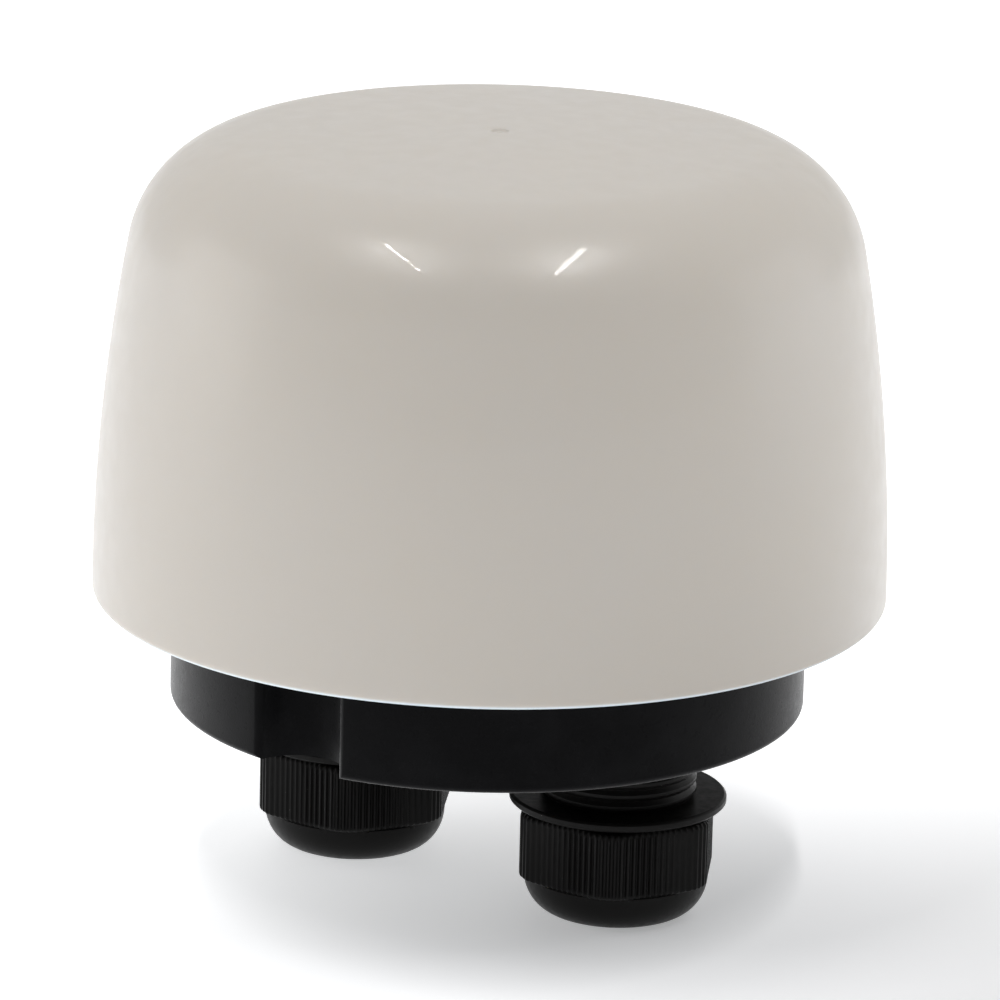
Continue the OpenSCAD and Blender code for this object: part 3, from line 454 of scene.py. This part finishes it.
COVER_LOW, COVER_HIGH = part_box("cover")
COVER_R = COVER_HIGH.x
RIM_Z = COVER_LOW.z
WALL = 2.4 * MM
SIDE_BOW_R = 252 * MM
SIDE_SWEEP = 10.6
SHOULDER_R = 15.9 * MM
SHOULDER_END = 85.4
RIM_ROUND = 1.2 * MM
GATE_R = 1.1 * MM
GATE_DEPTH = 0.3 * MM
BOSS_R = 4.4 * MM
BOSS_TOP = 32 * MM
BOSS_WEB = 2.4 * MM
SCREW_HOLE_R = 2.3 * MM
SCREW_HOLE_PAST_INSERT = 3 * MM
WEB_END_R = COVER_R - 2 * MM

side_cx = COVER_R - SIDE_BOW_R
shoulder_cx = side_cx + (SIDE_BOW_R - SHOULDER_R) * math.cos(math.radians(SIDE_SWEEP))
shoulder_cz = RIM_Z + (SIDE_BOW_R - SHOULDER_R) * math.sin(math.radians(SIDE_SWEEP))
crown_edge = arc(shoulder_cx, shoulder_cz, SHOULDER_R, SHOULDER_END, SHOULDER_END, 1)[0]
CROWN_R = crown_edge[0] / math.cos(math.radians(SHOULDER_END))
crown_cz = crown_edge[1] - CROWN_R * math.sin(math.radians(SHOULDER_END))


def dome_outline(inset, crown_stop):
    """The cover's outline from above the rim to near the axis, moved inwards by inset."""
    start = math.degrees(math.asin(RIM_ROUND / SIDE_BOW_R))
    side = arc(side_cx, RIM_Z, SIDE_BOW_R - inset, start, SIDE_SWEEP, 36)
    shoulder = arc(shoulder_cx, shoulder_cz, SHOULDER_R - inset, SIDE_SWEEP, SHOULDER_END, 30)
    crown = arc(0, crown_cz, CROWN_R - inset, SHOULDER_END, crown_stop, 18)
    return side + shoulder[1:] + crown[1:]


def cover_shell():
    """The cover's shell, with a rounded rim and the moulding gate's dimple in its crown."""
    gate_edge = math.degrees(math.acos((GATE_R + 0.25 * MM) / CROWN_R))
    top = crown_cz + CROWN_R
    dimple = [(GATE_R + 0.08 * MM, top - 0.05 * MM), (GATE_R - 0.05 * MM, top - 0.2 * MM),
              (GATE_R - 0.25 * MM, top - GATE_DEPTH), (0.5 * MM, top - GATE_DEPTH),
              (0.22 * MM, top - GATE_DEPTH + 0.16 * MM), (0.0, top - GATE_DEPTH + 0.2 * MM)]
    inner = dome_outline(WALL, 90)
    inner_round = 0.5 * MM
    rim = arc(COVER_R - WALL + inner_round, RIM_Z + inner_round, inner_round, 180, 270, 6)
    rim += arc(COVER_R - RIM_ROUND, RIM_Z + RIM_ROUND, RIM_ROUND, -90, -12, 10)
    outline = dome_outline(0, gate_edge) + dimple + list(reversed(inner)) + rim
    bm = bmesh.new()
    lathe_mesh(bm, outline, 192)
    return bm


def solid_object(bm, name):
    """A bare object for cutting or joining, not a piece."""
    mesh = bpy.data.meshes.new(name)
    bmesh.ops.recalc_face_normals(bm, faces=bm.faces)
    bm.to_mesh(mesh)
    bm.free()
    made = bpy.data.objects.new(name, mesh)
    bpy.context.scene.collection.objects.link(made)
    return made


def combined(base, others):
    """Applies boolean joins and cuts to a bare object and returns its bmesh."""
    for operation, other in others:
        modifier = base.modifiers.new("boolean", "BOOLEAN")
        modifier.operation = operation
        modifier.solver = "EXACT"
        modifier.object = other
    graph = bpy.context.evaluated_depsgraph_get()
    result = bmesh.new()
    result.from_mesh(bpy.data.meshes.new_from_object(base.evaluated_get(graph)))
    for made in [base] + [other for _, other in others]:
        bpy.data.objects.remove(made)
    return result


def box_mesh(bm, low, high):
    """Adds a box with the given lowest and highest corners."""
    made = bmesh.ops.create_cube(bm, size=1.0)["verts"]
    centre = (Vector(low) + Vector(high)) / 2
    size = Vector(high) - Vector(low)
    for v in made:
        v.co = Vector((v.co.x * size.x, v.co.y * size.y, v.co.z * size.z)) + centre


def column(radius, low, high, at, segments=64):
    """A bare cylinder standing at a point."""
    bm = bmesh.new()
    lathe_mesh(bm, [(0, low), (radius, low), (radius, high), (0, high)], segments, at)
    return bm


def make_cover():
    """The cover: its shell, and a boss on a web for each insert, bored through from below.

    The booleans leave some open edges and repeated faces on the bosses, inside the cover.
    """
    inserts_low, inserts_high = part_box("cover_inserts")
    insert_r = (inserts_high.x - inserts_low.x) / 2
    boss_y = inserts_high.y - insert_r
    others = []
    for s in (-1, 1):
        at = (0, s * boss_y)
        boss = column(BOSS_R, inserts_low.z, BOSS_TOP, at)
        others.append(("UNION", solid_object(boss, "boss")))
        bm = bmesh.new()
        near, far = sorted((s * boss_y, s * WEB_END_R))
        box_mesh(bm, (-BOSS_WEB / 2, near, inserts_low.z), (BOSS_WEB / 2, far, BOSS_TOP))
        others.append(("UNION", solid_object(bm, "web")))
        bore = column(insert_r, inserts_low.z - OVERCUT, inserts_high.z, at)
        others.append(("DIFFERENCE", solid_object(bore, "bore")))
        clear = column(SCREW_HOLE_R, inserts_low.z, inserts_high.z + SCREW_HOLE_PAST_INSERT, at)
        others.append(("DIFFERENCE", solid_object(clear, "clear")))
    bm = combined(solid_object(cover_shell(), "shell"), others)
    finished("cover_moulding", bm, "cover", "opal_plastic", ["cover"], crease=32)


# ---------------------------------------------------------------- base

BASE_R = 40.85 * MM
SCALLOP_Y = 40.5 * MM
SCALLOP_R = 6.05 * MM
LIP_ROUND = 1.1 * MM
FLANGE_UNDERSIDE = RIM_Z + 1.2 * MM
CUTTER_SKIN = 0.4 * MM
CUTTER_GAP = 0.02 * MM
CUTTER_REACH = 3 * LIP_ROUND
LIP_STEPS = 10
BASE_EDGE = 0.2 * MM


def lip_cutter(end, side):
    """What a rounded lip leaves out of the sharp corner between a scallop and the base's wall."""
    inner = BASE_R - LIP_ROUND
    beyond = SCALLOP_R + LIP_ROUND
    y = (inner ** 2 - beyond ** 2 + SCALLOP_Y ** 2) / (2 * SCALLOP_Y)
    middle = Vector((side * math.sqrt(inner ** 2 - y ** 2), end * y, 0))
    scallop = Vector((0, end * SCALLOP_Y, 0))
    on_wall = middle.normalized()
    on_scallop = (scallop - middle).normalized()
    outline = []
    for k in range(LIP_STEPS + 1):
        outline.append(middle + LIP_ROUND * on_wall.slerp(on_scallop, k / LIP_STEPS))
    outline.append(outline[-1] + on_scallop * CUTTER_SKIN)
    outline.append(middle + (on_wall + on_scallop).normalized() * CUTTER_REACH)
    outline.append(outline[0] + on_wall * CUTTER_SKIN)
    bm = bmesh.new()
    levels = (-OVERCUT, FLANGE_UNDERSIDE - CUTTER_GAP)
    rings = [[Vector((q.x, q.y, z)) for q in outline] for z in levels]
    made = rings_mesh(bm, rings, closed=False)
    bm.faces.new(made[0])
    bm.faces.new(made[-1])
    return bm


def make_base():
    """The CAD base with its scallops' lips rounded, which the CAD leaves sharp."""
    cutters = [("DIFFERENCE", solid_object(lip_cutter(end, side), "lip"))
               for end in (-1, 1) for side in (-1, 1)]
    bm = combined(solid_object(welded("base"), "base_solid"), cutters)
    piece = finished("base_moulding", bm, "frame", "black_plastic", ["base"])
    # the cuts leave edges under 0.001 mm, so the clamp brings this down to under 0.002 mm
    round_edges(piece, BASE_EDGE)


# ---------------------------------------------------------------- cable glands

NUT_FLATS = 24 * MM
NUT_CORNER_R = 13.2 * MM
NUT_RIBS = 96
RIB_DEPTH = 0.3 * MM
NUT_DOME_H = 5 * MM
NUT_MOUTH_R = 6.8 * MM
NUT_THREAD_R = 9.6 * MM
RIB_SAMPLES = 8
CORNER_BLEND = 0.25 * MM
GRIP_CORNER = 0.55 * MM
CORNER_STEPS = 5
DOME_STEPS = 12
DOME_R = NUT_FLATS / 2 - 0.15 * MM
NUT_LIP_R = NUT_MOUTH_R + 0.9 * MM
MOUTH_DEPTH = 3.8 * MM


def nut_radius(turn):
    """Radius of the nut's grip, before its ribs, in a direction given in degrees."""
    from_flat = turn % 60 - 30
    flat = NUT_FLATS / 2 / math.cos(math.radians(from_flat))
    mixed = max(0.0, min(1.0, 0.5 + (NUT_CORNER_R - flat) / (2 * CORNER_BLEND)))
    return flat * mixed + NUT_CORNER_R * (1 - mixed) - CORNER_BLEND * mixed * (1 - mixed)


def rib_height(turn):
    """1 on the crest of a grip rib and 0 between ribs."""
    wave = math.cos(math.radians(turn * NUT_RIBS))
    return max(0.0, min(1.0, 0.5 + 1.15 * wave - 0.1))


def make_nut(side):
    """A gland's nut, ring by ring: top face, ribbed grip, rounded corner, dome, mouth, bore."""
    low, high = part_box("gland_nut_" + side)
    cx, cy = (low.x + high.x) / 2, (low.y + high.y) / 2
    top, bottom = high.z, low.z
    rib_bottom = bottom + NUT_DOME_H
    samples = NUT_RIBS * RIB_SAMPLES
    turns = [30 + 360 * i / samples for i in range(samples)]
    rings = []

    def ring(radius_of, z):
        rings.append([(cx + radius_of(t) * math.cos(math.radians(t)),
                       cy + radius_of(t) * math.sin(math.radians(t)), z) for t in turns])

    def grip(inset, share):
        return lambda t: nut_radius(t) - inset - RIB_DEPTH * (1 - share * rib_height(t))

    def plain(radius):
        return lambda t: radius

    ring(plain(NUT_THREAD_R), top)
    ring(plain(NUT_THREAD_R + 0.5 * MM), top)
    ring(grip(0.45 * MM, 0.0), top)
    ring(grip(0.12 * MM, 0.2), top - 0.12 * MM)
    ring(grip(0.0, 0.9), top - 0.45 * MM)
    ring(grip(0.0, 1.0), top - 0.9 * MM)
    ring(grip(0.0, 1.0), rib_bottom + 0.65 * MM)
    for k in range(1, CORNER_STEPS + 1):
        a = math.radians(90 * k / CORNER_STEPS)
        drop = GRIP_CORNER * math.sin(a)
        inset = GRIP_CORNER * (1 - math.cos(a))
        share = 1 - k / CORNER_STEPS

        def blended(t, inset=inset, share=share, k=k):
            outer = grip(inset, share)(t)
            return outer + (DOME_R - outer) * (k / CORNER_STEPS) ** 2

        ring(blended, rib_bottom + GRIP_CORNER - drop)
    for k in range(1, DOME_STEPS + 1):
        a = math.radians(90 * k / DOME_STEPS)
        r = NUT_LIP_R + (DOME_R - NUT_LIP_R) * math.cos(a)
        z = rib_bottom - (rib_bottom - bottom) * math.sin(a)
        ring(plain(r), z)
    ring(plain(NUT_MOUTH_R + 0.3 * MM), bottom)
    ring(plain(NUT_MOUTH_R + 0.06 * MM), bottom + 0.12 * MM)
    ring(plain(NUT_MOUTH_R), bottom + 0.4 * MM)
    ring(plain(NUT_MOUTH_R), bottom + MOUTH_DEPTH)
    ring(plain(NUT_THREAD_R), bottom + MOUTH_DEPTH)
    bm = bmesh.new()
    rings_mesh(bm, rings, closed=True)
    finished("gland_nut_" + side + "_moulding", bm, "frame", "black_nylon",
             ["gland_nut_" + side], crease=50)


# ---------------------------------------------------------------- leads

LEAD_R = 0.7 * MM
LEAD_STEPS = 8
# the same points as in the CAD source, in millimetres
MOTOR_LEADS = [
    [(-10.2, 19.5, 38), (-6, 21.5, 37), (2, 22.5, 36.2), (9, 22.5, 37.5), (13, 22.2, 41.2),
     (15.5, 22, 42), (16, 22, 40.6), (16, 22, 39.6)],
    [(-11.4, 22, 38), (-6.5, 24, 37), (2, 25, 36.2), (9, 25, 37.5), (13, 24.8, 41.2),
     (15.5, 24.6, 42), (16, 24.6, 40.6), (16, 24.6, 39.6)],
]
SWITCH_LEADS = [
    [(6.8, -31.8, 37.6), (8.5, -31.7, 37.8), (11, -30, 39.5), (13, -26.5, 42),
     (15.5, -25.4, 42.4), (16, -25.2, 40.8), (16, -25.2, 39.6)],
    [(6.8, -31.8, 44.8), (8.6, -31.6, 45), (11.2, -28.5, 45.2), (13.5, -24.2, 44.2),
     (15.5, -22.8, 43), (16, -22.6, 41), (16, -22.6, 39.6)],
    [(0, -31.8, 44.8), (1.5, -32.3, 46.2), (7, -30.8, 47.6), (12.4, -25, 46.4),
     (15.2, -20.4, 44), (16, -20, 41.4), (16, -20, 39.6)],
]


def make_leads(name, node, paths, slot):
    """The insulated wires of one CAD node, as one piece."""
    bm = bmesh.new()
    for path in paths:
        points = [Vector(p) * MM for p in path]
        tube_mesh(bm, smooth_path(points, LEAD_STEPS), LEAD_R)
    finished(name, bm, "frame", slot, [node], crease=50)


def make_solder():
    """A cone of solder where each lead enters the board."""
    bm = bmesh.new()
    for path in MOTOR_LEADS + SWITCH_LEADS:
        x, y, z = [c * MM for c in path[-1]]
        outline = [(0, z - 0.02 * MM), (1.25 * MM, z - 0.02 * MM), (1.2 * MM, z + 0.08 * MM),
                   (0.95 * MM, z + 0.35 * MM), (0.8 * MM, z + 0.8 * MM), (0.72 * MM, z + 1.05 * MM),
                   (0, z + 1.05 * MM)]
        lathe_mesh(bm, outline, 24, (x, y))
    finished("solder_joints", bm, "frame", "steel", crease=60)


# ---------------------------------------------------------------- the pieces

make_cover()
make_base()
make_nut("left")
make_nut("right")
make_leads("motor_lead_wires", "motor_leads", MOTOR_LEADS, "red_lead")
make_leads("switch_lead_wires", "switch_leads", SWITCH_LEADS, "blue_lead")
make_solder()

# each remaining CAD node: its finish and the radius of its edges in millimetres
REFINED = {
    "cover_inserts": ("brass", 0.1), "cover_seal": ("rubber", 0.1),
    "cover_screws": ("steel", 0.1), "screw_seals": ("rubber", 0.1), "mount_inserts": ("brass", 0.15),
    "gland_body_left": ("black_nylon", 0.08), "gland_body_right": ("black_nylon", 0.08),
    "gland_seal_left": ("rubber", 0.2), "gland_seal_right": ("rubber", 0.2),
    "lower_bush": ("bronze", 0.15), "shaft_seal": ("rubber", 0.1), "upper_bush": ("bronze", 0.15),
    "output_shaft": ("steel", 0.1), "output_gear": ("acetal", 0.1), "cam_closed": ("red_plastic", 0.15),
    "cam_spacer": ("acetal", 0.12), "cam_open": ("blue_plastic", 0.15),
    "retaining_ring": ("steel", 0.08), "lower_plate": ("zinc_plate", 0.12),
    "plate_pillars": ("steel", 0.08), "upper_plate": ("zinc_plate", 0.12),
    "chassis_screws": ("steel", 0.08), "first_axle": ("steel", 0.1),
    "first_idler": ("ivory_plastic", 0.06), "second_axle": ("steel", 0.1),
    "second_idler": ("acetal", 0.06), "motor_flange": ("zinc_plate", 0.12),
    "motor_cup": ("steel", 0.3), "motor_coil": ("copper", 0.1), "motor_screws": ("steel", 0.08),
    "rotor_magnet": ("magnet", 0.2), "rotor_shaft": ("steel", 0.1), "motor_pinion": ("brass", 0.04),
    "switch_case_closed": ("switch_plastic", 0.2), "switch_case_open": ("switch_plastic", 0.2),
    "switch_lever_closed": ("steel", 0.06), "switch_lever_open": ("steel", 0.06),
    "switch_plunger_closed": ("red_plastic", 0.15), "switch_plunger_open": ("red_plastic", 0.15),
    "switch_insulator": ("card", 0.08), "switch_terminals": ("brass", 0.06),
    "switch_screws": ("steel", 0.08), "circuit_board": ("board", 0.1),
    "board_spacers": ("acetal", 0.12), "board_screws": ("steel", 0.08),
    "terminal_block": ("green_plastic", 0.12), "terminal_cages": ("brass", 0.1),
    "terminal_screws": ("steel", 0.08), "capacitor": ("yellow_plastic", 0.7),
    "status_lamps": ("lamp", 0.06),
}
for node, (slot, width) in REFINED.items():
    refined(node, slot, width * MM)

# both plungers are drawn this much smaller all round than in the CAD, clear of their levers
PLUNGER_CLEARANCE = 0.02 * MM
for switch in ("closed", "open"):
    plunger = bpy.data.objects["switch_plunger_" + switch + "_piece"]
    clear = plunger.modifiers.new("clear", "DISPLACE")
    clear.direction = "NORMAL"
    clear.mid_level = 0.0
    clear.strength = -PLUNGER_CLEARANCE


# ---------------------------------------------------------------- camera

CAMERA_AZIMUTH = 35.3
CAMERA_ELEVATION = 16.0
CAMERA_DISTANCE = 853 * MM
CAMERA_ROLL = 1.365
CAMERA_LENS = 239.7
CAMERA_SENSOR = 36
CAMERA_CLIP = (0.05, 50)
AIM_RIGHT = 1.106 * MM
AIM_ABOVE_RIM = 12.13 * MM


def toward(azimuth, elevation):
    """Unit vector from the part towards a viewer: azimuth 0 stands at -Y, 90 at +X."""
    a, e = math.radians(azimuth), math.radians(elevation)
    return Vector((math.sin(a) * math.cos(e), -math.cos(a) * math.cos(e), math.sin(e)))


def make_camera():
    a = math.radians(CAMERA_AZIMUTH)
    aim = Vector((math.cos(a), math.sin(a), 0)) * AIM_RIGHT
    aim.z = RIM_Z + AIM_ABOVE_RIM
    back = toward(CAMERA_AZIMUTH, CAMERA_ELEVATION)
    data = bpy.data.cameras.new("camera")
    data.lens = CAMERA_LENS
    data.sensor_width = CAMERA_SENSOR
    data.clip_start, data.clip_end = CAMERA_CLIP
    camera = bpy.data.objects.new("camera", data)
    bpy.context.scene.collection.objects.link(camera)
    turn = (-back).to_track_quat("-Z", "Y").to_matrix().to_4x4()
    roll = Matrix.Rotation(math.radians(CAMERA_ROLL), 4, "Z")
    camera.matrix_world = Matrix.Translation(aim + back * CAMERA_DISTANCE) @ turn @ roll
    bpy.context.scene.camera = camera


make_camera()


# ---------------------------------------------------------------- studio

FLOOR_Z = cad_low.z - 0.1 * MM
FLOOR_HALF = 6.0
FLOOR_CELLS = 24
FLOOR_GLOW = 0.67
FLOOR_DIM = 0.0
# the floor's glow fades out round a point beside the part, so that its shadow shows there; the floor is
# also darker there under any light, a painted shadow
DIM_AZIMUTH = CAMERA_AZIMUTH + 60
DIM_DISTANCE = 0.12
DIM_INNER = 0.3 * DIM_DISTANCE
DIM_OUTER = 1.3 * DIM_DISTANCE
LIGHTS_AIM = Vector((0, 0, 45 * MM))
STRIP_HEIGHT = 1.07
TENT_BACK = 0.7
TENT_FRONT = 0.06


def make_floor():
    """A pale floor that glows, except in a painted shadow beside the part."""
    bm = bmesh.new()
    bmesh.ops.create_grid(bm, x_segments=FLOOR_CELLS, y_segments=FLOOR_CELLS, size=FLOOR_HALF)
    for v in bm.verts:
        v.co.z = FLOOR_Z
    mesh = bpy.data.meshes.new("studio_floor")
    bm.to_mesh(mesh)
    bm.free()
    floor = bpy.data.objects.new("studio_floor", mesh)
    bpy.context.scene.collection.objects.link(floor)
    f = Finish("studio_floor", (0.86, 0.86, 0.87), 0.6)
    f.tint(f.span(f.noise(0.4, 3), 0.3, 0.7, 0, 0.2), (0.84, 0.84, 0.85))
    f.shader.inputs["Emission Color"].default_value = (0.98, 0.99, 1, 1)
    away = f.node("ShaderNodeVectorMath")
    away.operation = "DISTANCE"
    f.put(away, 0, f.place)
    away.inputs[1].default_value = toward(DIM_AZIMUTH, 0) * DIM_DISTANCE
    # painted shadow: the glow fades to FLOOR_DIM round the point at DIM_AZIMUTH, DIM_DISTANCE from the
    # part
    f.put(f.shader, "Emission Strength",
          f.span(away.outputs["Value"], DIM_INNER, DIM_OUTER, FLOOR_DIM, FLOOR_GLOW))
    mesh.materials.append(f.material)


def softbox(name, azimuth, elevation, distance, width, height, watts):
    """A rectangular light that looks at the cover."""
    data = bpy.data.lights.new(name, "AREA")
    data.shape = "RECTANGLE"
    data.size = width
    data.size_y = height
    data.energy = watts
    light = bpy.data.objects.new(name, data)
    bpy.context.scene.collection.objects.link(light)
    back = toward(azimuth, elevation)
    turn = (-back).to_track_quat("-Z", "Y").to_matrix().to_4x4()
    light.matrix_world = Matrix.Translation(LIGHTS_AIM + back * distance) @ turn
    light.visible_camera = False


def make_world():
    """Surroundings like a light tent: bright behind and beside the object, dim towards the viewer."""
    world = bpy.data.worlds.new("studio")
    world.use_nodes = True
    tree = world.node_tree
    shade = tree.nodes["Background"]
    shade.inputs["Color"].default_value = (1.0, 1.0, 1.0, 1)
    place = tree.nodes.new("ShaderNodeTexCoord")
    facing = tree.nodes.new("ShaderNodeVectorMath")
    facing.operation = "DOT_PRODUCT"
    facing.inputs[1].default_value = toward(CAMERA_AZIMUTH, 0)
    span = tree.nodes.new("ShaderNodeMapRange")
    span.interpolation_type = "SMOOTHSTEP"
    for key, number in (("From Min", -0.5), ("From Max", 0.9),
                        ("To Min", TENT_BACK), ("To Max", TENT_FRONT)):
        span.inputs[key].default_value = number
    tree.links.new(place.outputs["Generated"], facing.inputs[0])
    tree.links.new(facing.outputs["Value"], span.inputs["Value"])
    tree.links.new(span.outputs["Result"], shade.inputs["Strength"])
    bpy.context.scene.world = world


def strip_light(name, right, reach, width, watts):
    """A tube light overhead that runs towards the viewer, at a distance to the viewer's right."""
    a = math.radians(CAMERA_AZIMUTH)
    across = Vector((math.cos(a), math.sin(a), 0))
    forward = Vector((math.sin(a), -math.cos(a), 0))
    near, far = reach
    middle = across * right + forward * (near + far) / 2 + Vector((0, 0, STRIP_HEIGHT))
    data = bpy.data.lights.new(name, "AREA")
    data.shape = "RECTANGLE"
    data.size = width
    data.size_y = far - near
    data.energy = watts
    light = bpy.data.objects.new(name, data)
    bpy.context.scene.collection.objects.link(light)
    light.matrix_world = Matrix.Translation(middle) @ Matrix.Rotation(a, 4, "Z")
    light.visible_camera = False


make_floor()
make_world()
softbox("left_softbox", CAMERA_AZIMUTH - 96, elevation=9, distance=1.3,
        width=0.9, height=0.8, watts=2.8)
softbox("right_softbox", CAMERA_AZIMUTH + 100, elevation=9, distance=1.3,
        width=0.9, height=0.8, watts=1.9)
softbox("top_softbox", CAMERA_AZIMUTH + 180, elevation=68, distance=1.5,
        width=1.1, height=1.1, watts=0.8)
strip_light("left_strip", right=-0.40, reach=(0.06, 0.60), width=0.012, watts=3.6)
strip_light("right_strip", right=0.30, reach=(0.08, 0.62), width=0.03, watts=4.0)
bpy.context.scene.view_settings.view_transform = "Standard"
